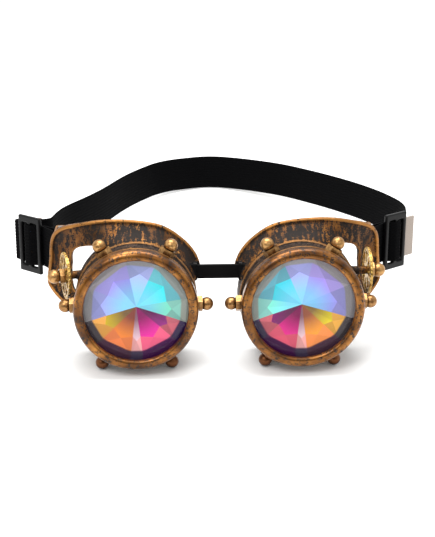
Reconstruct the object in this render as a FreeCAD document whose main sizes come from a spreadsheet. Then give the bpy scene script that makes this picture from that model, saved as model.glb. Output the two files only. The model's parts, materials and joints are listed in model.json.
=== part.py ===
import FreeCAD, Part
import Sketcher
import math
import os
import re

# Goggles with two round eye cups, a rubber nose bridge and an elastic head strap.
# Every piece is drawn with the lens axis along -Y and the eyes level, in millimetres.
# The finished pieces are then leaned back together, to stand as the goggles lie on a table.

Vector = FreeCAD.Vector
Placement = FreeCAD.Placement
Rotation = FreeCAD.Rotation
AXIS_X = Vector(1, 0, 0)
AXIS_Y = Vector(0, 1, 0)
AXIS_Z = Vector(0, 0, 1)
LEFT, RIGHT = -1, 1
SIDES = {"left": LEFT, "right": RIGHT}

# Driving sizes, in millimetres, and counts.
SIZES = {
    "lens_diameter": 49,
    "lens_edge": 3,
    "lens_point": 2.4,
    "lens_clearance": 0.1,
    "seat_gap": 0.05,
    "seat_width": 2,
    "gasket_depth": 1,
    "gasket_width": 1.6,
    "lip_cover": 1.5,
    "lip_round": 1.4,
    "bezel_lip": 2.2,
    "bezel_skirt": 3,
    "bezel_wall": 1.1,
    "bezel_round": 2.6,
    "thread_wall": 1.8,
    "thread_clearance": 0.08,
    "groove_width": 8.2,
    "bead_rise": 1.2,
    "bead_width": 1.4,
    "bead_round": 0.6,
    "sleeve_drop": 0.4,
    "sleeve_length": 8,
    "stud_count": 6,
    "stud_gap": 5,
    "stud_ball_diameter": 6,
    "stud_ball_rise": 5.1,
    "stud_hex_width": 6.4,
    "stud_stem_diameter": 2.4,
    "stud_stem_length": 2,
    "pin_clearance": 0.05,
    "collar_depth": 12,
    "brow_reach": 5.9,
    "brow_flare": 10.5,
    "brow_wall": 2.4,
    "brow_rim": 2.4,
    "brow_rim_rise": 0.9,
    "brow_dish": 0.8,
    "wing_stand": 13.6,
    "wing_crest": 11.2,
    "wing_drop": 8,
    "wing_sweep": 14,
    "ear_width": 5,
    "ear_height": 2.4,
    "ear_sink": 3.2,
    "strap_pin_diameter": 3,
    "strap_pin_inset": 6,
    "strap_pin_stand": 7.2,
    "post_diameter": 3,
    "post_shoulder_diameter": 3.8,
    "post_rise": 11,
    "post_stand": 12.3,
    "disc_diameter": 21,
    "disc_wall": 1.2,
    "disc_stand": 3.8,
    "disc_rim": 1.1,
    "disc_bead_diameter": 1.5,
    "disc_bead_count": 36,
    "disc_hub_diameter": 6.4,
    "disc_petal_count": 8,
    "disc_wire": 0.9,
    "nut_hex_width": 6.2,
    "nut_hex_height": 2.2,
    "nut_ball_diameter": 6.4,
    "bridge_height": 6.4,
    "bridge_wall": 2,
    "bridge_rise": 12,
    "bridge_set": 4.7,
    "bridge_grip": 2.4,
    "bridge_pin_diameter": 1.6,
    "socket_wall": 0.7,
    "socket_stand": 0.2,
    "strap_width": 20,
    "strap_wall": 1,
    "strap_level": 4,
    "strap_clearance": 0.3,
    "strap_back_depth": 231,
    "strap_left_spread": 90,
    "strap_right_spread": 100,
    "strap_bend": 1.2,
    "buckle_slot": 4.2,
    "buckle_slot_play": 0.7,
    "buckle_bar": 2.2,
    "buckle_side": 3.3,
    "buckle_wall": 2,
    "buckle_round": 0.7,
    "buckle_distance": 22,
    "tail_length": 0.6,
    "tail_fold": 7.2,
    "tail_return": 6,
    "tail_bend": 4,
    "fold_reach": 2.8,
    "fold_run": 14.4,
    "fold_step": 1.8,
    "fold_bend": 2.8,
    "fold_exit_bend": 4.4,
    "tab_length": 8,
    "tab_wall": 1,
    "cut_overrun": 2,
}
# Sizes that follow from those, so that pieces keep fitting when one changes.
FITTED = {
    "aperture_diameter": "lens_diameter - 2 * lip_cover",
    "eye_bore_diameter": "lens_diameter - 2 * seat_width",
    "thread_diameter": "lens_diameter + 2 * (lens_clearance + thread_wall)",
    "bezel_diameter": "thread_diameter + 2 * (thread_clearance + bezel_wall)",
    "groove_diameter": "thread_diameter",
    "bead_diameter": "groove_diameter + 2 * bead_rise",
    "sleeve_diameter": "groove_diameter - 2 * sleeve_drop",
    "stud_ball_reach": "groove_diameter / 2 + stud_ball_rise",
    "eye_spacing": "2 * stud_ball_reach + stud_ball_diameter + stud_gap",
    "collar_diameter": "bead_diameter",
    "wing_reach": "collar_diameter / 2 + wing_stand",
    "wing_rise": "strap_level + strap_width + wing_crest",
    "strap_pin_reach": "wing_reach - strap_pin_inset",
    "disc_reach": "collar_diameter / 2 + disc_stand",
    "socket_reach": "collar_diameter / 2 + socket_stand",
    "buckle_length": "3 * buckle_bar + 2 * buckle_slot",
    "buckle_slot_height": "strap_width + 2 * buckle_slot_play",
    "buckle_height": "buckle_slot_height + 2 * buckle_side",
}
LEFT_HEADING_ANGLE = 43
RIGHT_HEADING_ANGLE = 38

doc = FreeCAD.newDocument("goggles")
sheet = doc.addObject("Spreadsheet::Sheet", "Sizes")
cells = list(SIZES.items()) + [(alias, f"={rule}") for alias, rule in FITTED.items()]
for row, (alias, value) in enumerate(cells, 1):
    sheet.set(f"A{row}", alias)
    sheet.set(f"B{row}", str(value))
    sheet.setAlias(f"B{row}", alias)
doc.recompute()


class Sizes:
    """The sheet's values by name, for the shapes that are worked out in code."""

    def __getattr__(self, alias):
        return float(sheet.get(alias))


size = Sizes()


def bound(expression):
    """An expression on the sheet's aliases, as other objects have to write it."""
    return re.sub(r"[a-z_]+", lambda name: f"Sizes.{name[0]}", expression)


def value_of(expression):
    return float(sheet.evalExpression(bound(expression)))


# Depths along the lens axis, from the front of the bezel ring, as expressions on the sheet.
SKIRT_END = "bezel_lip + bezel_skirt"
BARREL_FRONT = "bezel_lip + seat_gap"
FRONT_BEAD = f"{SKIRT_END} + seat_gap"
GROOVE_FRONT = f"{FRONT_BEAD} + bead_width"
GROOVE_BACK = f"{GROOVE_FRONT} + groove_width"
SLEEVE_FRONT = f"{GROOVE_BACK} + bead_width"
SLEEVE_BACK = f"{SLEEVE_FRONT} + sleeve_length"
LENS_FRONT = "bezel_lip + seat_gap"
LENS_BACK = f"{LENS_FRONT} + lens_edge"
GASKET_FRONT = f"{LENS_BACK} + seat_gap"
SHOULDER = f"{GASKET_FRONT} + gasket_depth + seat_gap"
STUD_DEPTH = f"{GROOVE_FRONT} + groove_width / 2"
COLLAR_FRONT = f"{SLEEVE_FRONT} + seat_gap"
COLLAR_BACK = f"{COLLAR_FRONT} + collar_depth"
bridge_depth = value_of(f"{COLLAR_FRONT} + bridge_set")
post_depth = value_of(f"{STUD_DEPTH} + post_stand")

# The goggles lean back on a table: they stand on the lower studs and on the strap's back edge.
# The lower rear edges of the collars come down as far as the studs do.
stud_low = size.stud_ball_reach * math.cos(math.pi / size.stud_count)
back_run = size.strap_back_depth - value_of(STUD_DEPTH)
back_rise = size.strap_level + stud_low
lean = math.atan2(back_rise, back_run)
lean += math.asin(size.stud_ball_diameter / 2 / math.hypot(back_run, back_rise))

# The origin is on the table, under the middle of the nose bridge.
leaned = Rotation(AXIS_X, -math.degrees(lean))
stud_foot = leaned.multVec(Vector(0, value_of(STUD_DEPTH), -stud_low)).z - size.stud_ball_diameter / 2
collar_foot = leaned.multVec(Vector(0, value_of(COLLAR_BACK), -size.collar_diameter / 2)).z
bridge_middle = leaned.multVec(Vector(0, bridge_depth, size.bridge_rise))
AT_REST = Placement(Vector(0, -bridge_middle.y, -min(stud_foot, collar_foot)), leaned)


def cup_place(side):
    """Where a piece drawn about the lens axis goes, for the left (-1) or right (1) eye."""
    return AT_REST.multiply(Placement(Vector(side * size.eye_spacing / 2, 0, 0), Rotation()))


finished = []


def finish(piece, label, place):
    piece.Label = label
    piece.Placement = place
    finished.append(piece)


def plain(label, shape, place):
    """A piece whose shape is worked out in code."""
    piece = doc.addObject("Part::Feature", label)
    piece.Shape = shape
    finish(piece, label, place.multiply(shape.Placement))


def turned_body(label, corners):
    """A body turned about Y from a closed outline of (radius, depth) expressions."""
    body = doc.addObject("PartDesign::Body", label)
    plane = next(f for f in body.Origin.OriginFeatures if f.Role == "XY_Plane")
    sketch = body.newObject("Sketcher::SketchObject", f"{label}_outline")
    sketch.AttachmentSupport = [(plane, "")]
    sketch.MapMode = "FlatFace"
    points = [Vector(value_of(r), value_of(d), 0) for r, d in corners]
    for i, point in enumerate(points):
        sketch.addGeometry(Part.LineSegment(point, points[(i + 1) % len(points)]), False)
    for i, (radius, depth) in enumerate(corners):
        sketch.addConstraint(
            Sketcher.Constraint("Coincident", i, 2, (i + 1) % len(points), 1)
        )
        across = sketch.addConstraint(
            Sketcher.Constraint("DistanceX", -1, 1, i, 1, points[i].x)
        )
        sketch.setExpression(f"Constraints[{across}]", bound(radius))
        along = sketch.addConstraint(
            Sketcher.Constraint("DistanceY", -1, 1, i, 1, points[i].y)
        )
        sketch.setExpression(f"Constraints[{along}]", bound(depth))
    turned = body.newObject("PartDesign::Revolution", f"{label}_turned")
    turned.Profile = sketch
    turned.ReferenceAxis = (sketch, ["V_Axis"])
    turned.Angle = 360
    doc.recompute()
    return body


def round_circles(body, name, radius, places):
    """Rounds the body's circular edges that lie at the given (radius, depth) places."""
    wanted = [(value_of(r), value_of(d)) for r, d in places]
    base = body.Tip
    edges = []
    for i, edge in enumerate(base.Shape.Edges, 1):
        if isinstance(edge.Curve, Part.Circle):
            at = (edge.Curve.Radius, edge.Curve.Center.y)
            if any(math.dist(at, w) < size.seat_gap / 2 for w in wanted):
                edges.append(f"Edge{i}")
    rounded = body.newObject("PartDesign::Fillet", name)
    rounded.Base = (base, edges)
    rounded.setExpression("Radius", bound(radius))
    doc.recompute()


def revolved(points):
    """A solid turned about Y from (radius, depth) points."""
    outline = Part.makePolygon([Vector(r, d, 0) for r, d in points + points[:1]])
    return Part.Face(outline).revolve(Vector(), AXIS_Y, 360)


HEX_SIDES = 6


def hexagon(width, height):
    """An upright hexagonal prism on the XY plane, by its width across the flats."""
    reach = width / 2 / math.cos(math.pi / HEX_SIDES)
    turns = [math.tau * i / HEX_SIDES for i in range(HEX_SIDES + 1)]
    outline = Part.makePolygon(
        [Vector(reach * math.cos(a), reach * math.sin(a), 0) for a in turns]
    )
    return Part.Face(outline).extrude(AXIS_Z * height)


def eye_cup(name, side):
    """Barrel with thread, two beads, a groove drilled for the studs, and the lens seat."""
    bead = "bead_diameter / 2"
    groove = "groove_diameter / 2"
    thread = "thread_diameter / 2"
    seat = "lens_diameter / 2 + lens_clearance"
    eye = "eye_bore_diameter / 2"
    sleeve = "sleeve_diameter / 2"
    body = turned_body(
        f"{name}_barrel",
        [
            (seat, BARREL_FRONT),
            (thread, BARREL_FRONT),
            (thread, FRONT_BEAD),
            (bead, FRONT_BEAD),
            (bead, GROOVE_FRONT),
            (groove, GROOVE_FRONT),
            (groove, GROOVE_BACK),
            (bead, GROOVE_BACK),
            (bead, SLEEVE_FRONT),
            (sleeve, SLEEVE_FRONT),
            (sleeve, SLEEVE_BACK),
            (eye, SLEEVE_BACK),
            (eye, SHOULDER),
            (seat, SHOULDER),
        ],
    )
    round_circles(
        body,
        f"{name}_bead_rounds",
        "bead_round",
        [(bead, GROOVE_FRONT), (bead, GROOVE_BACK)],
    )
    bore = doc.addObject("Part::Cylinder", f"{name}_stud_bore")
    bore.setExpression("Radius", bound("stud_stem_diameter / 2 + pin_clearance"))
    bore.setExpression("Height", bound("stud_stem_length + cut_overrun"))
    doc.recompute()
    inner = size.groove_diameter / 2 - size.stud_stem_length - size.pin_clearance
    shape = body.Shape
    for turn in stud_turns():
        hole = bore.Shape.copy()
        hole.Placement = stud_place(turn, inner)
        shape = shape.cut(hole)
    plain(f"{name}_eye_cup", shape, cup_place(side))


def stud_turns():
    """The studs' angles about the lens axis: none at the very top or bottom."""
    step = 360 / size.stud_count
    return [step * i + step / 2 for i in range(round(size.stud_count))]


def stud_place(turn, reach):
    """Stands a shape drawn along Z on the barrel, its foot at the given reach from the axis."""
    spin = Rotation(AXIS_Y, turn)
    foot_at = spin.multVec(Vector(0, 0, reach)) + Vector(0, value_of(STUD_DEPTH), 0)
    return Placement(foot_at, spin)


BALL_SINK_SHARE = 1 / 3


def stud_nuts(name, side):
    """Six studs, each a ball on a hexagon with a stem in the barrel."""
    groove = size.groove_diameter / 2
    ball = doc.addObject("Part::Sphere", f"{name}_stud_ball")
    ball.setExpression("Radius", bound("stud_ball_diameter / 2"))
    stem = doc.addObject("Part::Cylinder", f"{name}_stud_stem")
    stem.setExpression("Radius", bound("stud_stem_diameter / 2"))
    stem.setExpression("Height", bound("stud_stem_length + seat_gap"))
    doc.recompute()
    hex_height = size.stud_ball_reach - groove - size.stud_ball_diameter * BALL_SINK_SHARE
    base = hexagon(size.stud_hex_width, hex_height)
    base.translate(Vector(0, 0, groove + size.seat_gap))
    head = ball.Shape.copy()
    head.translate(Vector(0, 0, size.stud_ball_reach))
    foot_pin = stem.Shape.copy()
    foot_pin.translate(Vector(0, 0, groove - size.stud_stem_length + size.seat_gap))
    stud = base.fuse([head, foot_pin]).removeSplitter()
    copies = []
    for turn in stud_turns():
        copy = stud.copy()
        copy.Placement = stud_place(turn, 0)
        copies.append(copy)
    plain(f"{name}_stud_nuts", Part.makeCompound(copies), cup_place(side))


def bezel_ring(name, side):
    """Screwed front ring: a lip over the lens and a skirt over the barrel's thread."""
    outer = "bezel_diameter / 2"
    lip = "aperture_diameter / 2"
    skirt = "thread_diameter / 2 + thread_clearance"
    body = turned_body(
        f"{name}_bezel_ring",
        [
            (lip, "0"),
            (outer, "0"),
            (outer, SKIRT_END),
            (skirt, SKIRT_END),
            (skirt, "bezel_lip"),
            (lip, "bezel_lip"),
        ],
    )
    round_circles(body, f"{name}_bezel_round", "bezel_round", [(outer, "0")])
    round_circles(body, f"{name}_lip_round", "lip_round", [(lip, "0")])
    finish(body, f"{name}_bezel_ring", cup_place(side))


def lens_gasket(name, side):
    outer = "lens_diameter / 2"
    inner = "lens_diameter / 2 - gasket_width"
    back = f"{GASKET_FRONT} + gasket_depth"
    body = turned_body(
        f"{name}_lens_gasket",
        [(inner, GASKET_FRONT), (outer, GASKET_FRONT), (outer, back), (inner, back)],
    )
    finish(body, f"{name}_lens_gasket", cup_place(side))


# Directions of the lens's creases, from the top towards the temple.
LENS_CREASE_ANGLES = [11, 65, 105, 133, 173, 187, 229, 253, 281, 336]
# The kites' side corners and tips, as shares of the cut back's reach and of its height.
KITE_SIDE_SHARES = (0.6, 0.52)
KITE_TIP_SHARES = (0.69, 0.42)


def lens(name, side):
    """Crystal lens: a flat front, a round edge and a pointed back cut in flat facets."""
    edge = doc.addObject("Part::Cylinder", f"{name}_lens_edge")
    edge.setExpression("Radius", bound("lens_diameter / 2"))
    edge.setExpression("Height", bound("lens_edge"))
    edge.Placement = Placement(Vector(), Rotation(AXIS_X, -90))
    doc.recompute()
    disc = edge.Shape.copy()
    disc.translate(Vector(0, value_of(LENS_FRONT), 0))
    back = value_of(LENS_BACK)
    base_reach = size.lens_diameter / 2 - size.gasket_width - size.lens_clearance
    creases = [math.radians(angle) for angle in LENS_CREASE_ANGLES]
    following = creases[1:] + [creases[0] + math.tau]
    middles = [(a + b) / 2 for a, b in zip(creases, following)]

    def ring(turns, shares):
        reach, depth = base_reach * shares[0], back + size.lens_point * shares[1]
        return [Vector(side * reach * math.sin(a), depth, reach * math.cos(a)) for a in turns]

    rim = ring(creases, (1, 0))
    kite_sides = ring(creases, KITE_SIDE_SHARES)
    kite_tips = ring(middles, KITE_TIP_SHARES)
    point = Vector(0, back + size.lens_point, 0)
    outlines = [rim[::-1]]
    for i, tip in enumerate(kite_tips):
        nxt = (i + 1) % len(rim)
        outlines += [
            (rim[i], rim[nxt], tip),
            (rim[i], tip, kite_sides[i]),
            (tip, rim[nxt], kite_sides[nxt]),
            (kite_sides[i], tip, point),
            (tip, kite_sides[nxt], point),
        ]
    faces = [Part.Face(Part.makePolygon([*corners, corners[0]])) for corners in outlines]
    cut_back = Part.Solid(Part.Shell(faces))
    if cut_back.Volume < 0:
        cut_back.reverse()
    plain(f"{name}_lens", disc.fuse(cut_back).removeSplitter(), cup_place(side))


# The brow and the wing are one band, from the nose over the eye to the heel behind the temple.
# Its brow part has angles from the top towards the temple, and shares of the brow's reach.
BROW_ANGLES = [-71, -60, -45, -28, -11, 4]
BROW_REACH_SHARES = [0.32, 0.7, 0.88, 0.98, 1.02, 1.13]
BROW_NEAR_SHARE = 0.6
BROW_ROOT_SHARES = (0.17, 0.75)
# Its wing part has shares of the wing's reach, its rise (drop if below 0) and its sweep.
WING_EDGE_SHARES = [
    (0.33, 0.99, -0.02),
    (0.63, 0.94, 0.17),
    (0.8, 0.875, 0.44),
    (0.89, 0.795, 0.66),
    (0.937, 0.68, 0.84),
    (0.96, 0.483, 0.94),
    (0.985, 0.24, 1),
    (1, 0.1, 1),
    (0.966, -0.1, 0.91),
    (0.883, -0.55, 0.66),
    (0.73, -0.92, 0.26),
    (0.63, -1, 0),
]
WINDOW_EDGE_SHARES = [
    (0.255, 0.724, -0.6),
    (0.42, 0.68, -0.235),
    (0.546, 0.648, 0.086),
    (0.64, 0.597, 0.336),
    (0.7, 0.52, 0.5),
    (0.718, 0.398, 0.57),
    (0.723, 0.241, 0.6),
    (0.723, 0.128, 0.6),
    (0.709, 0.043, 0.53),
    (0.67, -0.1, 0.357),
    (0.62, -0.325, 0.086),
    (0.57, -0.425, -0.164),
]
# The band's rim starts and ends, as shares of its width, and the dish's shallow side.
RIM_TOP_SHARES = (0.75, 0.25)
DISH_SIDE_SHARE = 0.5


def brow_depth():
    """Depth of the brow's outer edge, where the wing's sweep starts."""
    return value_of(COLLAR_FRONT) + size.brow_flare


def band_edges(side):
    """The band's inner and outer edge points, station by station."""
    front, collar = value_of(COLLAR_FRONT), size.collar_diameter / 2
    root_in, root_back = (size.brow_wall * share for share in BROW_ROOT_SHARES)
    edges = []
    for angle, share in zip(BROW_ANGLES, BROW_REACH_SHARES):
        turn = math.radians(angle)
        radial = Vector(side * math.sin(turn), 0, math.cos(turn))
        flare = size.brow_flare * (BROW_NEAR_SHARE + (1 - BROW_NEAR_SHARE) * min(share, 1))
        inner = radial * (collar - root_in) + AXIS_Y * (front + root_back)
        outer = radial * (collar + size.brow_reach * share) + AXIS_Y * (front + flare)
        edges.append((inner, outer))

    def spot(reach, rise, sweep):
        height = (size.wing_rise if rise > 0 else size.wing_drop) * rise
        return Vector(side * size.wing_reach * reach, brow_depth() + size.wing_sweep * sweep, height)

    for window, edge in zip(WINDOW_EDGE_SHARES, WING_EDGE_SHARES):
        edges.append((spot(*window), spot(*edge)))
    return edges


def band_section(inner, outer, path):
    """The band's section between its edges: a dished face with a raised rim on its outer edge."""
    across = outer - inner
    width = across.Length
    across.normalize()
    facing = across.cross(path).normalize()
    if facing.y > 0:
        facing = -facing
    half, rim = size.brow_wall / 2, size.brow_rim
    rim_foot = width - rim
    crest = half + size.brow_rim_rise
    places = [
        (0, half),
        (rim_foot / 2, half - size.brow_dish),
        (rim_foot, half - size.brow_dish * DISH_SIDE_SHARE),
        (width - rim * RIM_TOP_SHARES[0], crest),
        (width - rim * RIM_TOP_SHARES[1], crest),
        (width, half),
        (width, -half),
        (0, -half),
    ]
    points = [inner + across * along + facing * proud for along, proud in places]
    return Part.makePolygon(points + points[:1])


def brow_and_wing(side):
    edges = band_edges(side)
    middles = [(inner + outer) * 0.5 for inner, outer in edges]
    sections = []
    for i, (inner, outer) in enumerate(edges):
        path = middles[min(i + 1, len(edges) - 1)] - middles[max(i - 1, 0)]
        sections.append(band_section(inner, outer, path))
    return Part.makeLoft(sections, True, False)


def strap_ears(side):
    """Two ears on the wing's back, above and below the strap, drilled for the strap pin."""
    ears = []
    depth = size.ear_sink + size.strap_pin_stand + size.strap_pin_diameter
    for bottom in (
        size.strap_level - size.strap_clearance - size.ear_height,
        size.strap_level + size.strap_width + size.strap_clearance,
    ):
        ear = Part.makeBox(size.ear_width, depth, size.ear_height)
        ear.translate(
            Vector(
                side * size.strap_pin_reach - size.ear_width / 2,
                brow_depth() + size.wing_sweep - size.ear_sink,
                bottom,
            )
        )
        ears.append(ear)
    return ears


def strap_pin_depth():
    return brow_depth() + size.wing_sweep + size.strap_pin_stand


def strap_pin_bottom():
    return size.strap_level - size.strap_clearance - size.ear_height


def strap_pin_height():
    return size.strap_width + 2 * (size.strap_clearance + size.ear_height)


def cylinder_along(direction, radius, start, length):
    return Part.makeCylinder(radius, length, start, direction)


# The left ornament's post points forward of square, as if knocked.
LEFT_POST_ANGLE = 15
RIGHT_POST_ANGLE = 0


def post_root():
    """How far out the post starts, inside the collar's wall."""
    wall_middle = (size.sleeve_diameter / 2 + size.pin_clearance + size.collar_diameter / 2) / 2
    return math.sqrt(wall_middle**2 - size.post_rise**2) - size.post_shoulder_diameter / 2


def post_place(side, reach):
    """Stands a shape drawn along Z on the ornament's post, at the given reach from the axis."""
    forward = math.radians(LEFT_POST_ANGLE if side == LEFT else RIGHT_POST_ANGLE)
    outward = Vector(side * math.cos(forward), -math.sin(forward), 0)
    root = Vector(side * post_root(), post_depth, size.post_rise)
    return Placement(root + outward * (reach - post_root()), Rotation(AXIS_Z, outward))


def face_frame(name, side):
    """Collar, flared brow and side wing, strap ears, ornament post and bridge socket."""
    front, back = value_of(COLLAR_FRONT), value_of(COLLAR_BACK)
    outer = size.collar_diameter / 2
    inner = size.sleeve_diameter / 2 + size.pin_clearance
    eye = size.eye_bore_diameter / 2
    rest = value_of(SLEEVE_BACK) + size.seat_gap
    collar = revolved(
        [(inner, front), (outer, front), (outer, back), (eye, back), (eye, rest), (inner, rest)]
    )
    mid = (inner + outer) / 2
    post_end = size.disc_reach + size.disc_wall + size.nut_hex_height + size.nut_ball_diameter / 2
    post = Part.makeCylinder(size.post_diameter / 2, post_end - post_root())
    shoulder_end = size.disc_reach - size.seat_gap
    shoulder = Part.makeCylinder(size.post_shoulder_diameter / 2, shoulder_end - post_root())
    post.Placement = shoulder.Placement = post_place(side, post_root())
    socket_height = size.bridge_height + 2 * size.socket_wall
    socket_depth = size.bridge_wall + 2 * size.socket_wall
    socket_low = size.bridge_rise - socket_height / 2
    socket_start = math.sqrt(mid**2 - (size.bridge_rise + socket_height / 2) ** 2)
    socket = Part.makeBox(size.socket_reach - socket_start, socket_depth, socket_height)
    socket_left = -size.socket_reach if side > 0 else socket_start
    socket.translate(Vector(socket_left, bridge_depth - socket_depth / 2, socket_low))
    # What joins the collar from outside stops inside its wall, clear of the barrel's sleeve.
    hollow = Part.makeCylinder(mid, 2 * back, Vector(), AXIS_Y)
    joined = [piece.cut(hollow) for piece in (brow_and_wing(side), post, shoulder, socket)]
    shape = collar.fuse(joined + strap_ears(side))
    slot_width = size.bridge_wall + 2 * size.pin_clearance
    slot_height = size.bridge_height + 2 * size.pin_clearance
    slot = Part.makeBox(size.bridge_grip + size.cut_overrun, slot_width, slot_height)
    slot_reach = size.socket_reach - size.bridge_grip - size.seat_gap
    slot_left = -slot_reach - size.bridge_grip - size.cut_overrun if side > 0 else slot_reach
    slot.translate(
        Vector(slot_left, bridge_depth - slot_width / 2, size.bridge_rise - slot_height / 2)
    )
    pin_hole = cylinder_along(
        AXIS_Z,
        size.bridge_pin_diameter / 2 + size.pin_clearance,
        Vector(-side * bridge_pin_reach(), bridge_depth, socket_low - size.cut_overrun),
        socket_height + 2 * size.cut_overrun,
    )
    strap_hole = cylinder_along(
        AXIS_Z,
        size.strap_pin_diameter / 2 + size.pin_clearance,
        Vector(side * size.strap_pin_reach, strap_pin_depth(), strap_pin_bottom() - size.cut_overrun),
        strap_pin_height() + 2 * size.cut_overrun,
    )
    shape = shape.cut([slot, pin_hole, strap_hole]).removeSplitter()
    plain(f"{name}_face_frame", shape, cup_place(side))


def bridge_pin_reach():
    return size.socket_reach - size.bridge_grip / 2


def small_pins(name, side):
    """The strap pin behind the wing and the pin in the bridge socket."""
    strap_pin = doc.addObject("Part::Cylinder", f"{name}_strap_pin")
    strap_pin.setExpression("Radius", bound("strap_pin_diameter / 2"))
    strap_pin.setExpression(
        "Height", bound("strap_width + 2 * (strap_clearance + ear_height)")
    )
    at_strap = Vector(side * size.strap_pin_reach, strap_pin_depth(), strap_pin_bottom())
    finish(strap_pin, f"{name}_strap_pin", cup_place(side).multiply(Placement(at_strap, Rotation())))
    pin = doc.addObject("Part::Cylinder", f"{name}_bridge_pin")
    pin.setExpression("Radius", bound("bridge_pin_diameter / 2"))
    pin.setExpression("Height", bound("bridge_height + 2 * socket_wall"))
    low = size.bridge_rise - size.bridge_height / 2 - size.socket_wall
    at_bridge = Vector(-side * bridge_pin_reach(), bridge_depth, low)
    finish(pin, f"{name}_bridge_pin", cup_place(side).multiply(Placement(at_bridge, Rotation())))


def filigree_disc(name, side):
    """Openwork disc: a beaded rim and a hub joined by bent-wire petals."""
    wall = size.disc_wall
    rim_out = size.disc_diameter / 2
    rim_in = rim_out - size.disc_rim
    hub_out = size.disc_hub_diameter / 2
    hub_in = size.post_diameter / 2 + size.pin_clearance

    def flat_ring(outer, inner):
        return Part.makeCylinder(outer, wall).cut(Part.makeCylinder(inner, wall))

    pieces = [flat_ring(rim_out, rim_in), flat_ring(hub_out, hub_in)]
    petal_out = (rim_in - hub_out) / 2 + size.disc_wire / 2
    petal_reach = (rim_in + hub_out) / 2
    for i in range(round(size.disc_petal_count)):
        loop = flat_ring(petal_out, petal_out - size.disc_wire)
        loop.translate(Vector(petal_reach, 0, 0))
        loop.rotate(Vector(), AXIS_Z, 360 * i / size.disc_petal_count)
        pieces.append(loop)
    bead_radius = size.disc_bead_diameter / 2
    bead_reach = rim_out - size.disc_rim / 2
    for i in range(round(size.disc_bead_count)):
        bead = Part.makeSphere(bead_radius, Vector(bead_reach, 0, wall / 2))
        bead.rotate(Vector(), AXIS_Z, 360 * i / size.disc_bead_count)
        pieces.append(bead)
    shape = pieces[0].fuse(pieces[1:]).removeSplitter()
    place = cup_place(side).multiply(post_place(side, size.disc_reach))
    plain(f"{name}_filigree_disc", shape, place)


def ornament_nut(name, side):
    """Ball nut with a hexagonal collar, bored for the post."""
    ball_at = size.nut_hex_height + size.nut_ball_diameter * BALL_SINK_SHARE
    shape = hexagon(size.nut_hex_width, size.nut_hex_height)
    shape = shape.fuse(Part.makeSphere(size.nut_ball_diameter / 2, Vector(0, 0, ball_at)))
    bore_depth = size.nut_hex_height + size.nut_ball_diameter / 2 + size.seat_gap
    shape = shape.cut(Part.makeCylinder(size.post_diameter / 2 + size.pin_clearance, bore_depth))
    reach = size.disc_reach + size.disc_wall + size.seat_gap
    place = cup_place(side).multiply(post_place(side, reach))
    plain(f"{name}_ornament_nut", shape, place)


def nose_bridge():
    """Flat rubber strip between the sockets, drilled for its two pins."""
    length = size.eye_spacing - 2 * size.socket_reach + 2 * size.bridge_grip
    strip = doc.addObject("Part::Box", "bridge_strip")
    strip.setExpression("Length", bound("eye_spacing - 2 * socket_reach + 2 * bridge_grip"))
    strip.setExpression("Width", bound("bridge_wall"))
    strip.setExpression("Height", bound("bridge_height"))
    corner = Vector(
        -length / 2,
        bridge_depth - size.bridge_wall / 2,
        size.bridge_rise - size.bridge_height / 2,
    )
    strip.Placement = Placement(corner, Rotation())
    doc.recompute()
    shape = strip.Shape.copy()
    for side in SIDES.values():
        reach = size.eye_spacing / 2 - bridge_pin_reach()
        hole = cylinder_along(
            AXIS_Z,
            size.bridge_pin_diameter / 2 + size.pin_clearance,
            Vector(side * reach, bridge_depth, corner.z - size.cut_overrun),
            size.bridge_height + 2 * size.cut_overrun,
        )
        shape = shape.cut(hole)
    plain("nose_bridge", shape, AT_REST)


# How the strap ends fold, as shares of the strap's width and of the buckle's bar.
WEAVE_OVER_SHARE = 0.7
TAIL_RETURN_ANGLE = 6
# The loop behind the head, as shares of its spread on that side and of its depth past the buckle.
LEFT_LOOP_SHARES = [(0.84, 0.14), (0.65, 0.37), (0.48, 0.67), (0.26, 0.91)]
RIGHT_LOOP_SHARES = [
    (0.07, 1),
    (0.28, 0.937),
    (0.5, 0.832),
    (0.72, 0.643),
    (0.87, 0.479),
    (0.96, 0.341),
    (1.01, 0.215),
    (1.01, 0.124),
]


def strap_frame(name):
    """The strap end's own frame: its pin, its heading and the way across, seen from above."""
    side = SIDES[name]
    heading = math.radians(LEFT_HEADING_ANGLE if side == LEFT else RIGHT_HEADING_ANGLE)
    pin = Vector(side * (size.eye_spacing / 2 + size.strap_pin_reach), strap_pin_depth(), 0)
    along = Vector(side * math.cos(heading), math.sin(heading), 0)
    across = Vector(-side * math.sin(heading), math.cos(heading), 0)
    return pin, along, across


def strap_end(name):
    """Route of one strap end from its free tail, through the buckle and round the pin.

    The outer layer weaves over the buckle's middle bar. The inner layer runs behind the buckle.
    """
    pin, along, across = strap_frame(name)
    weave = size.buckle_wall / 2 + size.strap_clearance + size.strap_wall / 2
    behind = weave + size.strap_wall + size.strap_clearance
    turn = size.strap_pin_diameter / 2 + size.strap_clearance + size.strap_wall / 2
    mid = size.buckle_distance
    half = size.buckle_length / 2
    over = size.buckle_bar * WEAVE_OVER_SHARE
    under = half - size.buckle_bar
    bend = size.strap_bend

    def at(distance, offset, radius):
        point = pin + along * distance + across * offset
        return (point.x, point.y, radius)

    outer = [
        at(mid + half, weave, bend),
        at(mid + under, weave, bend),
        at(mid + over, -weave, bend),
        at(mid - over, -weave, bend),
        at(mid - under, weave, bend),
        at(mid - half, weave, bend),
    ]
    loop = [at(0, -turn, None), at(-turn, -turn, turn), at(-turn, turn, turn), at(0, turn, None)]
    inner = [at(mid - half, behind, None), at(mid + half, behind, None)]
    return outer, loop, inner


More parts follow.
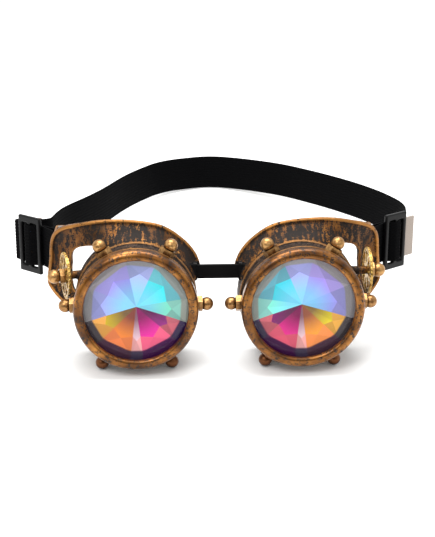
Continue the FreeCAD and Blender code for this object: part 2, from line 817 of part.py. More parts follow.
def strap_tail(name):
    """The free end beyond the buckle, straight on the right and folded back on the left."""
    pin, along, across = strap_frame(name)
    weave = size.buckle_wall / 2 + size.strap_clearance + size.strap_wall / 2
    start = pin + along * (size.buckle_distance + size.buckle_length / 2) + across * weave
    if name == "right":
        tip = start + along * size.tail_length
        return [(tip.x, tip.y, None)], along
    back = start + along * size.tail_fold
    inward = Rotation(AXIS_Z, TAIL_RETURN_ANGLE).multVec(AXIS_X)
    tip = back + inward * size.tail_return
    return [(tip.x, tip.y, None), (back.x, back.y, size.tail_bend)], inward


def strap_main():
    """Route of the loop behind the head, from the left buckle round to the right one."""
    left, right, back = size.strap_left_spread, size.strap_right_spread, size.strap_back_depth
    pin, along, across = strap_frame("left")
    weave = size.buckle_wall / 2 + size.strap_clearance + size.strap_wall / 2
    behind = weave + size.strap_wall + size.strap_clearance
    end = pin + along * (size.buckle_distance + size.buckle_length / 2) + across * behind
    fold = end + along * size.fold_reach
    left_from = fold.y + size.fold_step
    points = [
        (fold.x, fold.y, size.fold_bend),
        (fold.x + size.fold_run, left_from, size.fold_exit_bend),
    ]
    points += [(-left * x, left_from + (back - left_from) * y, None) for x, y in LEFT_LOOP_SHARES]
    right_from = strap_end("right")[-1][-1][1]
    points += [(right * x, right_from + (back - right_from) * y, None) for x, y in RIGHT_LOOP_SHARES]
    return points


STRAIGHT_TURN = 1e-6


def rounded_route(route, share=0.45):
    """Straight runs and tangent arcs along a route of (x, y, radius), as (start, end, arc) parts.

    A radius of None is as large as the two runs beside the point allow.
    """
    points = [Vector(x, y, 0) for x, y, radius in route]
    parts = []
    here = points[0]
    for i in range(1, len(points) - 1):
        before = points[i] - points[i - 1]
        after = points[i + 1] - points[i]
        turn = before.getAngle(after)
        if math.isclose(turn, 0, abs_tol=STRAIGHT_TURN):
            continue
        room = share * min(before.Length, after.Length)
        radius = room / math.tan(turn / 2)
        if route[i][2] is not None:
            radius = min(route[i][2], radius)
        cut = radius * math.tan(turn / 2)
        start = points[i] - before.normalize() * cut
        end = points[i] + after.normalize() * cut
        handed = 1 if before.cross(after).z > 0 else -1
        middle = start + Vector(-before.y, before.x, 0) * handed * radius
        parts.append((here, start, None))
        parts.append((start, end, (middle, radius, handed)))
        here = end
    parts.append((here, points[-1], None))
    return parts


def ribbon(parts, wall):
    """A flat face: the band of the given wall along the parts."""

    def chain(offset):
        edges = []
        for start, end, arc in parts:
            if arc is None:
                run = (end - start).normalize()
                shift = Vector(-run.y, run.x, 0) * offset
                edges.append(Part.makeLine(start + shift, end + shift))
            else:
                middle, radius, handed = arc
                grown = (radius - handed * offset) / radius
                a = middle + (start - middle) * grown
                b = middle + (end - middle) * grown
                halfway = (start + end) * 0.5 - middle
                c = middle + halfway.normalize() * radius * grown
                edges.append(Part.Arc(a, c, b).toShape())
        return edges

    one, other = chain(wall / 2), chain(-wall / 2)
    first = Part.makeLine(one[0].firstVertex(True).Point, other[0].firstVertex(True).Point)
    last = Part.makeLine(one[-1].lastVertex(True).Point, other[-1].lastVertex(True).Point)
    return Part.Face(Part.Wire(Part.__sortEdges__(one + other + [first, last])))


def strap():
    """One ribbed elastic strap, here a plain band, from the left tail to the right tail."""
    ends = {name: strap_end(name) for name in SIDES}
    tails = {name: strap_tail(name)[0] for name in SIDES}
    outer, loop, inner = ends["left"]
    route = tails["left"] + outer + loop + inner + strap_main()
    outer, loop, inner = ends["right"]
    route += inner[::-1] + loop[::-1] + outer[::-1] + tails["right"][::-1]
    band = ribbon(rounded_route(route), size.strap_wall)
    solid = band.extrude(AXIS_Z * size.strap_width)
    solid.translate(Vector(0, 0, size.strap_level))
    plain("strap", solid, AT_REST)


def strap_end_tab(name):
    """Light tape on the strap's free end, the strap's own width."""
    points, along = strap_tail(name)
    tab = doc.addObject("Part::Box", f"{name}_strap_end_tab")
    tab.setExpression("Length", bound("tab_length"))
    tab.setExpression("Width", bound("tab_wall"))
    tab.setExpression("Height", bound("strap_width"))
    turn = Rotation(AXIS_X, along)
    corner = Vector(points[0][0], points[0][1], size.strap_level)
    corner += along * size.seat_gap - turn.multVec(AXIS_Y) * size.tab_wall / 2
    finish(tab, f"{name}_strap_end_tab", AT_REST.multiply(Placement(corner, turn)))


def buckle(name):
    """Three-bar slide: a flat frame with two slots, its edges rounded."""
    frame = doc.addObject("Part::Box", f"{name}_buckle_blank")
    frame.setExpression("Length", bound("buckle_length"))
    frame.setExpression("Width", bound("buckle_wall"))
    frame.setExpression("Height", bound("buckle_height"))
    slot_width = "(buckle_length - 3 * buckle_bar) / 2"
    slots = []
    for i, start in enumerate(("buckle_bar", f"2 * buckle_bar + {slot_width}")):
        slot = doc.addObject("Part::Box", f"{name}_buckle_slot_{i}")
        slot.setExpression("Length", bound(slot_width))
        slot.setExpression("Width", bound("buckle_wall + 2 * cut_overrun"))
        slot.setExpression("Height", bound("buckle_slot_height"))
        slot.setExpression("Placement.Base.x", bound(start))
        slot.setExpression("Placement.Base.y", bound("-cut_overrun"))
        slot.setExpression("Placement.Base.z", bound("(buckle_height - buckle_slot_height) / 2"))
        slots.append(slot)
    both = doc.addObject("Part::MultiFuse", f"{name}_buckle_slots")
    both.Shapes = slots
    cut = doc.addObject("Part::Cut", f"{name}_buckle_cut")
    cut.Base = frame
    cut.Tool = both
    doc.recompute()
    rounded = doc.addObject("Part::Fillet", f"{name}_buckle")
    rounded.Base = cut
    count = len(cut.Shape.Edges)
    rounded.Edges = [(i + 1, size.buckle_round, size.buckle_round) for i in range(count)]
    pin, along, across = strap_frame(name)
    middle = pin + along * size.buckle_distance
    turn = Rotation(along, AXIS_Z.cross(along), AXIS_Z)
    low = size.strap_level + size.strap_width / 2 - size.buckle_height / 2
    corner = middle + Vector(0, 0, low)
    corner -= turn.multVec(Vector(size.buckle_length / 2, size.buckle_wall / 2, 0))
    finish(rounded, f"{name}_buckle", AT_REST.multiply(Placement(corner, turn)))


for name, side in SIDES.items():
    eye_cup(name, side)
    stud_nuts(name, side)
    bezel_ring(name, side)
    lens_gasket(name, side)
    lens(name, side)
    face_frame(name, side)
    small_pins(name, side)
    filigree_disc(name, side)
    ornament_nut(name, side)
    buckle(name)
    strap_end_tab(name)
nose_bridge()
strap()
doc.recompute()

for thing in doc.Objects:
    if "Invalid" in thing.State or "Error" in thing.State:
        raise RuntimeError(f"{thing.Label} failed: {thing.State}")
for piece in finished:
    if piece.Shape.isNull() or not piece.Shape.isValid():
        raise RuntimeError(f"{piece.Label} has no valid shape")

os.makedirs("parts", exist_ok=True)
for piece in finished:
    piece.Shape.exportStep(f"parts/{piece.Label}.step")
    print(piece.Label, len(piece.Shape.Solids), round(piece.Shape.Volume, 1))
print("lean", round(math.degrees(lean), 3), "feet", round(stud_foot, 3), round(collar_foot, 3))
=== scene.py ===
import json
import math

import bpy
from mathutils import Matrix, Vector


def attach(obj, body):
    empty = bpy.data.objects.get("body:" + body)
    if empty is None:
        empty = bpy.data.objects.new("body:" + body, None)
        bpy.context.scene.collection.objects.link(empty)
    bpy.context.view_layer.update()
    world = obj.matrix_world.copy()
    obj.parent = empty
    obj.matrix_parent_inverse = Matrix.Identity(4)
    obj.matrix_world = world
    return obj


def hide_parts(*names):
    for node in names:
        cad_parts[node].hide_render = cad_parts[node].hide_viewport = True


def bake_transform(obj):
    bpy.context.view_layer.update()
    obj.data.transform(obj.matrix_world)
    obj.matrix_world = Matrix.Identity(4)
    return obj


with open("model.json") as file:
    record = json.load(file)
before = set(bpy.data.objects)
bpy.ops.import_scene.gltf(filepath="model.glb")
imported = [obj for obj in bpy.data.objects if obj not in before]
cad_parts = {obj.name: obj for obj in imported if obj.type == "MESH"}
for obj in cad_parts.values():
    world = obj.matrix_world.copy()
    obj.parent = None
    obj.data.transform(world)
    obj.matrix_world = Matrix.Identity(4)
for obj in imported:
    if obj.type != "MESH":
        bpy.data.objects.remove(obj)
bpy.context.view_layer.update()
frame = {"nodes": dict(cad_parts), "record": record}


# Front rings: moulded black plastic, brushed by hand with copper paint and rubbed back, so that
# the black stays in the grooves, which are darkened further as painted shade. Each ring is half
# round and screws on over its lens.
# A side's number is the way along X from the nose to that temple.
nodes = frame["nodes"]
SIDES = {"left": -1, "right": 1}
MM = 0.001
recess_reach = 4 * MM
stroke_height = 0.15 * MM
stroke_softness = 0.04
bare_plastic_and_shade = "#1A110B"
rubbed_edge_and_highlight = "#B98040"


def linear(hex_colour):
    """An sRGB hex colour as linear RGBA."""
    parts = [int(hex_colour[i : i + 2], 16) / 255 for i in (1, 3, 5)]
    return [c / 12.92 if c <= 0.04045 else ((c + 0.055) / 1.055) ** 2.4 for c in parts] + [1]


def new_material(name):
    """A new material, its node tree and its shader."""
    material = bpy.data.materials.new(name)
    material.use_nodes = True
    return material, material.node_tree, material.node_tree.nodes["Principled BSDF"]


def add(tree, kind, settings=None, **sockets):
    """Adds a node with its settings, and gives its sockets a constant or a link from another.

    The setting named stops holds a colour ramp's places and hex colours.
    """
    node = tree.nodes.new(kind)
    for key, value in (settings or {}).items():
        if key == "stops":
            elements = node.color_ramp.elements
            while len(elements) < len(value):
                elements.new(0.5)
            for element, (place, colour) in zip(elements, value):
                element.position = place
                element.color = linear(colour)
        elif key == "interpolation":
            node.color_ramp.interpolation = value
        else:
            setattr(node, key, value)
    for key, value in sockets.items():
        name = key.replace("_", " ")
        socket = node.inputs[int(key[1:])] if key[1:].isdigit() else node.inputs[name]
        if isinstance(value, bpy.types.NodeSocket):
            tree.links.new(value, socket)
        else:
            socket.default_value = value
    return node


def rubbed_copper(
    name,
    paint,
    threshold,
    stroke_mm,
    stretch=(1, 1, 1),
    wear_and_highlight=False,
    gloss=(0.28, 0.55),
    metal=0.6,
    lacquer=0,
):
    """Copper paint brushed over black plastic.

    The paint shines dully and is broken by brush strokes. Every recess takes the dark plastic colour,
    partly the black left in real grooves and partly painted shade. On pieces with marked edges, the
    edges are a lighter gold, partly rubbed wear and partly painted highlight, and more paint is left
    towards the rim.
    """
    material, tree, shader = new_material(name)
    place = add(tree, "ShaderNodeTexCoord").outputs["Object"]
    stretched = add(tree, "ShaderNodeMapping", Vector=place, Scale=stretch).outputs["Vector"]
    per_metre = 1 / (stroke_mm * MM)
    strokes = add(
        tree, "ShaderNodeTexNoise", Vector=stretched, Scale=per_metre, Detail=6, Roughness=0.7
    ).outputs["Fac"]
    specks = add(
        tree, "ShaderNodeTexNoise", Vector=place, Scale=per_metre * 3.1, Detail=3
    ).outputs["Fac"]
    shade = add(
        tree, "ShaderNodeTexNoise", Vector=place, Scale=per_metre / 5, Detail=2
    ).outputs["Fac"]
    # Recesses take the dark plastic colour, partly the black left in real grooves, partly painted
    # shade.
    recess = add(
        tree,
        "ShaderNodeAmbientOcclusion",
        {"only_local": True, "samples": 8},
        Distance=recess_reach,
    ).outputs["AO"]
    open_to_light = add(
        tree, "ShaderNodeMapRange", Value=recess, From_Min=0.5, From_Max=0.97
    ).outputs["Result"]
    broken = add(
        tree, "ShaderNodeMath", {"operation": "MULTIPLY_ADD"}, i0=specks, i1=0.45, i2=strokes
    ).outputs[0]
    shades = list(zip((0.3, 0.52, 0.72), paint))
    copper = add(tree, "ShaderNodeValToRGB", {"stops": shades}, Fac=shade).outputs["Color"]
    if wear_and_highlight:
        # Convex edges take more paint and a lighter gold, partly rubbed wear, partly painted
        # highlight.
        point = add(tree, "ShaderNodeNewGeometry").outputs["Pointiness"]
        edge = add(
            tree, "ShaderNodeMapRange", Value=point, From_Min=0.5, From_Max=0.56
        ).outputs["Result"]
        outward = add(tree, "ShaderNodeAttribute", {"attribute_name": "outward"}).outputs["Fac"]
        for more_paint, share in ((edge, 0.3), (outward, 0.08)):
            broken = add(
                tree,
                "ShaderNodeMath",
                {"operation": "MULTIPLY_ADD"},
                i0=more_paint,
                i1=share,
                i2=broken,
            ).outputs[0]
        copper = add(
            tree,
            "ShaderNodeMix",
            {"data_type": "RGBA"},
            i0=edge,
            i6=copper,
            i7=linear(rubbed_edge_and_highlight),
        ).outputs[2]
    cover = add(
        tree,
        "ShaderNodeMapRange",
        Value=broken,
        From_Min=threshold - stroke_softness,
        From_Max=threshold + stroke_softness,
    ).outputs["Result"]
    painted = add(
        tree, "ShaderNodeMath", {"operation": "MULTIPLY"}, i0=cover, i1=open_to_light
    ).outputs[0]
    colour = add(
        tree,
        "ShaderNodeMix",
        {"data_type": "RGBA"},
        i0=painted,
        i6=linear(bare_plastic_and_shade),
        i7=copper,
    ).outputs[2]
    tree.links.new(colour, shader.inputs["Base Color"])
    metallic = add(
        tree, "ShaderNodeMath", {"operation": "MULTIPLY"}, i0=painted, i1=metal
    ).outputs[0]
    tree.links.new(metallic, shader.inputs["Metallic"])
    rough = add(
        tree, "ShaderNodeMapRange", Value=specks, To_Min=gloss[0], To_Max=gloss[1]
    ).outputs["Result"]
    rough = add(tree, "ShaderNodeMix", i0=painted, i2=0.7, i3=rough).outputs[0]
    tree.links.new(rough, shader.inputs["Roughness"])
    bump = add(tree, "ShaderNodeBump", Height=broken, Strength=0.3, Distance=stroke_height)
    tree.links.new(bump.outputs["Normal"], shader.inputs["Normal"])
    shader.inputs["Specular IOR Level"].default_value = 0.25
    shader.inputs["Coat Weight"].default_value = lacquer
    shader.inputs["Coat Roughness"].default_value = 0.2
    return material


def dress(node, material):
    """Gives a CAD node its finish."""
    nodes[node].data.materials.clear()
    nodes[node].data.materials.append(material)


ring_copper = rubbed_copper(
    "copper_rubbed_black_plastic",
    paint=("#42250E", "#80501F", "#B47A38"),
    threshold=0.66,
    stroke_mm=1.8,
    gloss=(0.22, 0.38),
    metal=0.85,
    lacquer=0.3,
)
for side in SIDES:
    dress(f"{side}_bezel_ring", ring_copper)


# Face frames and eye cups: the collar, flared brow and swept-back wing in one moulding, and the
# barrel with its two beads in another, with soft edges where they came from their moulds.
# Long brush strokes run across the brow. The barrel has little paint, most of it on the beads.
# The lighter gold on the edges is partly rubbed wear and partly painted highlight.
barrel_reach = 28 * MM
rim_reach = 35 * MM

# The goggles lean back on the table. Each eye's own frame starts at the middle of its front ring,
# with X as in the part's frame, Y backwards along the lens axis and Z up the barrel.
joints = {joint["name"]: joint for joint in frame["record"]["behaviour"]["joints"]}
up = Vector(joints["bridge_flex"]["axis"]).normalized()
backward = -Vector(joints["left_bezel_turn"]["axis"]).normalized()
leaning = Matrix((Vector((1, 0, 0)), backward, up)).transposed().to_4x4()
eye_frame = {
    side: Matrix.Translation(Vector(joints[f"{side}_bezel_turn"]["pos_m"])) @ leaning
    for side in SIDES
}


def alone(obj):
    """Leaves one object selected and active."""
    bpy.ops.object.select_all(action="DESELECT")
    obj.select_set(True)
    bpy.context.view_layer.objects.active = obj


def copy_of(node, name):
    """A copy of a CAD node's mesh, merged, to be shaped into the finished piece."""
    piece = bpy.data.objects.new(name, nodes[node].data.copy())
    bpy.context.scene.collection.objects.link(piece)
    piece.data.materials.clear()
    alone(piece)
    bpy.ops.object.mode_set(mode="EDIT")
    bpy.ops.mesh.select_all(action="SELECT")
    bpy.ops.mesh.remove_doubles(threshold=0.001 * MM)
    bpy.ops.object.mode_set(mode="OBJECT")
    return piece


def apply(piece, kind, **settings):
    """Adds a modifier with its settings and applies it."""
    alone(piece)
    modifier = piece.modifiers.new(kind.lower(), kind)
    for key, value in settings.items():
        setattr(modifier, key, value)
    bpy.ops.object.modifier_apply(modifier=modifier.name)


def soften(piece, voxel, passes):
    """Remakes a piece in small even faces and rounds its edges a little."""
    apply(piece, "REMESH", mode="VOXEL", voxel_size=voxel)
    apply(piece, "SMOOTH", factor=0.5, iterations=passes)
    bpy.ops.object.shade_smooth()


brow_copper = rubbed_copper(
    "brushed_copper_on_black_plastic",
    paint=("#3E2611", "#6C431D", "#9C692F"),
    threshold=0.82,
    stroke_mm=1.8,
    stretch=(1, 0.25, 0.35),
    wear_and_highlight=True,
)
barrel_copper = rubbed_copper(
    "thin_copper_on_black_plastic",
    paint=("#2C221C", "#4A3A31", "#705846"),
    threshold=0.74,
    stroke_mm=1.4,
    wear_and_highlight=True,
)
for side in SIDES:
    to_eye = eye_frame[side].inverted()
    for node, name, voxel, passes, copper in (
        ("face_frame", "brow_and_wing", 0.45 * MM, 5, brow_copper),
        ("eye_cup", "beaded_barrel", 0.35 * MM, 3, barrel_copper),
    ):
        moulding = copy_of(f"{side}_{node}", f"{side}_{name}")
        soften(moulding, voxel, passes)
        places = [to_eye @ v.co for v in moulding.data.vertices]
        reaches = [math.hypot(co.x, co.z) - barrel_reach for co in places]
        outward = [min(max(reach / (rim_reach - barrel_reach), 0), 1) for reach in reaches]
        attribute = moulding.data.attributes.new("outward", "FLOAT", "POINT")
        attribute.data.foreach_set("value", outward)
        moulding.data.materials.append(copper)
        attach(moulding, f"{side}_cup")
        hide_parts(f"{side}_{node}")


# Studs, ball nuts and filigree discs: cast and stamped metal, gilt and then worn on the high spots.
# The studs are screwed into the barrel, and the nut holds the disc on its post.
# The lower studs are coloured darker, as painted shade.
cloud_size = 1.5 * MM
cloud_depth = 0.05 * MM
stud_shade_reach = 3 * MM
shade_up_to = 14 * MM
unshaded_from = 42 * MM
stud_foot_shade = "#241710"


def worn_shaded_gilt(name, shade_brown, low, high, roughness):
    """Old gold over copper, bright and cloudy above; darker below and dark where it meets the base,
    both as painted shade.
    """
    material, tree, shader = new_material(name)
    place = add(tree, "ShaderNodeTexCoord").outputs["Object"]
    cloud = add(
        tree, "ShaderNodeTexNoise", Vector=place, Scale=1 / cloud_size, Detail=4
    ).outputs["Fac"]
    # Where a stud meets the barrel or another part it turns dark: painted shade.
    recess = add(
        tree, "ShaderNodeAmbientOcclusion", {"samples": 8}, Distance=stud_shade_reach
    ).outputs["AO"]
    # Lower down the gilt gives way to a darker brown: painted shade.
    height = add(tree, "ShaderNodeSeparateXYZ", Vector=place).outputs["Z"]
    upper = add(
        tree, "ShaderNodeMapRange", Value=height, From_Min=shade_up_to, From_Max=unshaded_from
    ).outputs["Result"]
    golds = [(0.35, low), (0.6, high)]
    gilt = add(tree, "ShaderNodeValToRGB", {"stops": golds}, Fac=cloud).outputs["Color"]
    gilt = add(
        tree, "ShaderNodeMix", {"data_type": "RGBA"}, i0=upper, i6=linear(shade_brown), i7=gilt
    ).outputs[2]
    open_to_light = add(
        tree, "ShaderNodeMapRange", Value=recess, From_Min=0.3, From_Max=0.85
    ).outputs["Result"]
    colour = add(
        tree, "ShaderNodeMix", {"data_type": "RGBA"}, i0=open_to_light, i6=linear(stud_foot_shade), i7=gilt
    ).outputs[2]
    tree.links.new(colour, shader.inputs["Base Color"])
    shader.inputs["Metallic"].default_value = 0.85
    rough = add(
        tree, "ShaderNodeMapRange", Value=cloud, To_Min=roughness - 0.06, To_Max=roughness + 0.14
    ).outputs["Result"]
    tree.links.new(rough, shader.inputs["Roughness"])
    bump = add(tree, "ShaderNodeBump", Height=cloud, Strength=0.2, Distance=cloud_depth)
    tree.links.new(bump.outputs["Normal"], shader.inputs["Normal"])
    return material


stud_gilt = worn_shaded_gilt("worn_shaded_gilt_studs", "#6E4428", "#8C643A", "#C2965E", roughness=0.28)
filigree_gilt = worn_shaded_gilt("stamped_gilt_brass", "#8A6A34", "#A07C3C", "#CDA75C", roughness=0.25)
for side in SIDES:
    dress(f"{side}_stud_nuts", stud_gilt)
    dress(f"{side}_ornament_nut", stud_gilt)
    dress(f"{side}_filigree_disc", filigree_gilt)


# Pins: short lengths of drawn steel wire, pushed through the strap ears and the bridge sockets.
# They are bright grey with fine lines along their length.
line_spacing = 0.15 * MM
line_stretch = (1, 1, 0.05)
steel, tree, shader = new_material("drawn_steel_wire")
place = add(tree, "ShaderNodeTexCoord").outputs["Object"]
drawn = add(tree, "ShaderNodeMapping", Vector=place, Scale=line_stretch).outputs["Vector"]
lines = add(tree, "ShaderNodeTexNoise", Vector=drawn, Scale=1 / line_spacing).outputs["Fac"]
greys = [(0.3, "#77787A"), (0.7, "#A9AAAB")]
colour = add(tree, "ShaderNodeValToRGB", {"stops": greys}, Fac=lines).outputs["Color"]
tree.links.new(colour, shader.inputs["Base Color"])
shader.inputs["Metallic"].default_value = 1
shader.inputs["Roughness"].default_value = 0.35
for side in SIDES:
    dress(f"{side}_strap_pin", steel)
    dress(f"{side}_bridge_pin", steel)


# Lenses: cut crystal, a clear flat front and round edge over a pointed back with a rainbow film.
# Each back facet throws one colour, cool above and warm below, and the glass is dark at its edge.
# A row is where a facet starts, in degrees from the top towards the nose, and its film's colour.
FILM_COLOURS = [
    (0, "#A3B4FA"),
    (24, "#20D6DE"),
    (79, "#7FECCB"),
    (107, "#8A1078"),
    (131, "#E4209C"),
    (173, "#EBC4D2"),
    (187, "#F48A34"),
    (227, "#DCBC10"),
    (255, "#98A0F2"),
    (295, "#9A8EEE"),
    (349, "#A3B4FA"),
]
warm_from, warm_to = 107 / 360, 255 / 360
film_hue = {"left": 0.5, "right": 0.515}
# What the film turns to, above and below, and how far: at the point, past the kites, at the edge.
point_tints, point_share = ("#74CCF0", "#4C0A34"), 0.8
outer_tints, outer_share = ("#74728A", "#EC7C5C"), 0.5
edge_tints, edge_share = ("#86827C", "#17133E"), 0.94
# Distances from the lens axis, and those where a tint starts and ends as shares of the cut's reach.
point_reach = 1 * MM
kite_reach = 15.2 * MM
cut_reach = 22.8 * MM
point_zone = 0.25
edge_from, edge_to = 0.87, 0.9
tone_low, tone_high = 0.8, 1.12
back_facing = 0.2
tone_turns = (57, 91)
veil_size = 8 * MM


def mark_facets(piece, side):
    """Gives the clear faces and the back facets their materials, and the facets their attributes.

    A facet's tone swings quickly with the way it faces, so that neighbours differ.
    """
    mesh = piece.data
    to_eye = eye_frame[side].inverted()
    turns, outers, tones = [], [], []
    for face in mesh.polygons:
        middle = to_eye @ face.center
        facing = to_eye.to_3x3() @ face.normal
        face.material_index = 1 if facing.y > back_facing else 0
        turns.append(math.atan2(-SIDES[side] * middle.x, middle.z) / math.tau % 1)
        corners = [to_eye @ mesh.vertices[i].co for i in face.vertices]
        outers.append(0.0 if min(math.hypot(c.x, c.z) for c in corners) < point_reach else 1.0)
        swing = math.sin(tone_turns[0] * facing.x + tone_turns[1] * facing.z)
        tones.append(0.5 + 0.5 * swing)
    reaches = [to_eye @ v.co for v in mesh.vertices]
    reaches = [math.hypot(c.x, c.z) / cut_reach for c in reaches]
    for name, domain, values in (
        ("facet_turn", "FACE", turns),
        ("facet_outer", "FACE", outers),
        ("facet_tone", "FACE", tones),
        ("facet_reach", "POINT", reaches),
    ):
        mesh.attributes.new(name, "FLOAT", domain).data.foreach_set("value", values)


def rainbow_film(side):
    """A colour film: flat facets of pure colour, deeper below at the point, greyer above outside."""
    material, tree, shader = new_material(f"rainbow_film_crystal_{side}")
    mixed = {"data_type": "RGBA"}
    turn, outer, tone, reach = (
        add(tree, "ShaderNodeAttribute", {"attribute_name": f"facet_{name}"}).outputs["Fac"]
        for name in ("turn", "outer", "tone", "reach")
    )
    stops = [(angle / 360, colour) for angle, colour in FILM_COLOURS]
    film = add(
        tree, "ShaderNodeValToRGB", {"stops": stops, "interpolation": "CONSTANT"}, Fac=turn
    ).outputs["Color"]
    film = add(
        tree, "ShaderNodeHueSaturation", Hue=film_hue[side], Color=film
    ).outputs["Color"]
    tinted = []
    for (cool, warm), share in (
        (point_tints, point_share),
        (outer_tints, outer_share),
        (edge_tints, edge_share),
    ):
        stops = [(0, cool), (warm_from, warm), (warm_to, cool)]
        tint = add(
            tree, "ShaderNodeValToRGB", {"stops": stops, "interpolation": "CONSTANT"}, Fac=turn
        ).outputs["Color"]
        tinted.append(add(tree, "ShaderNodeMix", mixed, i0=share, i6=film, i7=tint).outputs[2])
    at_point, past_kite, rim = tinted
    along = add(
        tree,
        "ShaderNodeMapRange",
        Value=reach,
        From_Min=point_zone,
        From_Max=kite_reach / cut_reach,
    ).outputs["Result"]
    kite = add(tree, "ShaderNodeMix", mixed, i0=along, i6=at_point, i7=film).outputs[2]
    colour = add(tree, "ShaderNodeMix", mixed, i0=outer, i6=kite, i7=past_kite).outputs[2]
    at_edge = add(
        tree, "ShaderNodeMapRange", Value=reach, From_Min=edge_from, From_Max=edge_to
    ).outputs["Result"]
    colour = add(tree, "ShaderNodeMix", mixed, i0=at_edge, i6=colour, i7=rim).outputs[2]
    light = add(
        tree, "ShaderNodeMapRange", Value=tone, To_Min=tone_low, To_Max=tone_high
    ).outputs["Result"]
    colour = add(
        tree,
        "ShaderNodeMix",
        {"data_type": "RGBA", "blend_type": "MULTIPLY"},
        i0=1.0,
        i6=colour,
        i7=light,
    ).outputs[2]
    tree.links.new(colour, shader.inputs["Base Color"])
    shader.inputs["Roughness"].default_value = 0.25
    return material


# The clear face shows only as a faint cool veil with a sharp shine.
clear, tree, shader = new_material("clear_cut_crystal")
place = add(tree, "ShaderNodeTexCoord").outputs["Object"]
veil = add(tree, "ShaderNodeTexNoise", Vector=place, Scale=1 / veil_size, Detail=2).outputs["Fac"]
cool_darks = [(0.3, "#0C1016"), (0.7, "#1A2028")]
colour = add(tree, "ShaderNodeValToRGB", {"stops": cool_darks}, Fac=veil).outputs["Color"]
tree.links.new(colour, shader.inputs["Base Color"])
shader.inputs["Roughness"].default_value = 0.03
shader.inputs["Alpha"].default_value = 0.05
for side in SIDES:
    cut = copy_of(f"{side}_lens", f"{side}_cut_crystal")
    cut.data.materials.append(clear)
    cut.data.materials.append(rainbow_film(side))
    mark_facets(cut, side)
    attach(cut, f"{side}_lens_pack")
    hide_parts(f"{side}_lens")


# Nose bridge and lens gaskets: black rubber. The bridge is a flat strip with soft edges, pinned in
# a socket at each eye. A gasket seats each lens.
bridge_voxel = 0.25 * MM
bridge_passes = 4
collar_reach = 27.75 * MM
mouth_wall = 0.95 * MM


def speckled(name, dark, light, grain_mm, roughness, depth_mm):
    """A plain dark moulding with a fine grain that breaks its shine."""
    material, tree, shader = new_material(name)
    place = add(tree, "ShaderNodeTexCoord").outputs["Object"]
    grain = add(
        tree, "ShaderNodeTexNoise", Vector=place, Scale=1 / (grain_mm * MM), Detail=3
    ).outputs["Fac"]
    stops = [(0.3, dark), (0.7, light)]
    colour = add(tree, "ShaderNodeValToRGB", {"stops": stops}, Fac=grain).outputs["Color"]
    tree.links.new(colour, shader.inputs["Base Color"])
    rough = add(
        tree, "ShaderNodeMapRange", Value=grain, To_Min=roughness - 0.08, To_Max=roughness + 0.08
    ).outputs["Result"]
    tree.links.new(rough, shader.inputs["Roughness"])
    bump = add(tree, "ShaderNodeBump", Height=grain, Strength=0.25, Distance=depth_mm * MM)
    tree.links.new(bump.outputs["Normal"], shader.inputs["Normal"])
    return material, shader


# Matte rubber, near black, with a soft grey bloom.
black_rubber, shader = speckled(
    "moulded_black_rubber", "#050506", "#0C0C0D", grain_mm=0.5, roughness=0.62, depth_mm=0.03
)
shader.inputs["Specular IOR Level"].default_value = 0.08
for side in SIDES:
    dress(f"{side}_lens_gasket", black_rubber)

# The socket's mouth, behind the barrel, is coloured the plastic's dull black.
socket_black, shader = speckled(
    "dull_black_socket_plastic", "#050506", "#0C0C0D", grain_mm=0.5, roughness=0.62, depth_mm=0.03
)
shader.inputs["Specular IOR Level"].default_value = 0.08
for side, temple in SIDES.items():
    frame_piece = bpy.data.objects[f"{side}_brow_and_wing"]
    frame_piece.data.materials.append(socket_black)
    to_eye = eye_frame[side].inverted()
    strip = [to_eye @ v.co for v in nodes["nose_bridge"].data.vertices]
    low_y, high_y = min(co.y for co in strip) - mouth_wall, max(co.y for co in strip) + mouth_wall
    low_z, high_z = min(co.z for co in strip) - mouth_wall, max(co.z for co in strip) + mouth_wall
    for face in frame_piece.data.polygons:
        x, y, z = to_eye @ face.center
        in_mouth = low_y < y < high_y and low_z < z < high_z and x * temple < 0
        if in_mouth and math.hypot(x, z) > collar_reach:
            face.material_index = 1

bridge = copy_of("nose_bridge", "nose_bridge_strip")
soften(bridge, bridge_voxel, bridge_passes)
bridge.data.materials.append(black_rubber)
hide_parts("nose_bridge")
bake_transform(bridge)


# Strap: one length of black elastic from the left tail round the head to the right tail.
# Ribs run along it, 1.6 mm apart, and its edges are rounded. It is drawn up from its outline.
STRAP_ROWS = 50
RIB_ROWS = 4
RIB_VALLEY, RIB_CREST = 1, 3
strap_width = 20 * MM
rib_depth = 0.11 * MM
edge_round = 0.22 * MM
longest_piece = 3 * MM
facing_down = -0.9
crease_angle = math.radians(50)
band = copy_of("strap", "elastic_strap")


def select_in_edit(piece, kind, chosen):
    """Selects the vertices, edges or faces that pass the test, and leaves the piece in edit mode."""
    if piece.mode == "EDIT":
        bpy.ops.object.mode_set(mode="OBJECT")
    alone(piece)
    bpy.ops.object.mode_set(mode="EDIT")
    bpy.ops.mesh.select_mode(type=kind)
    bpy.ops.mesh.select_all(action="DESELECT")
    bpy.ops.object.mode_set(mode="OBJECT")
    mesh = piece.data
    for item in {"VERT": mesh.vertices, "EDGE": mesh.edges, "FACE": mesh.polygons}[kind]:
        item.select = chosen(item)
    bpy.ops.object.mode_set(mode="EDIT")


select_in_edit(band, "FACE", lambda face: face.normal.dot(up) > facing_down)
bpy.ops.mesh.delete(type="FACE")
bpy.ops.mesh.select_all(action="SELECT")
bpy.ops.mesh.region_to_loop()
bpy.ops.mesh.select_all(action="INVERT")
bpy.ops.mesh.delete(type="EDGE")
bpy.ops.object.mode_set(mode="OBJECT")
outline = band.data


def too_long(edge):
    """Whether a length of the outline is still to be cut in two."""
    a, b = (outline.vertices[i].co for i in edge.vertices)
    return (a - b).length > longest_piece


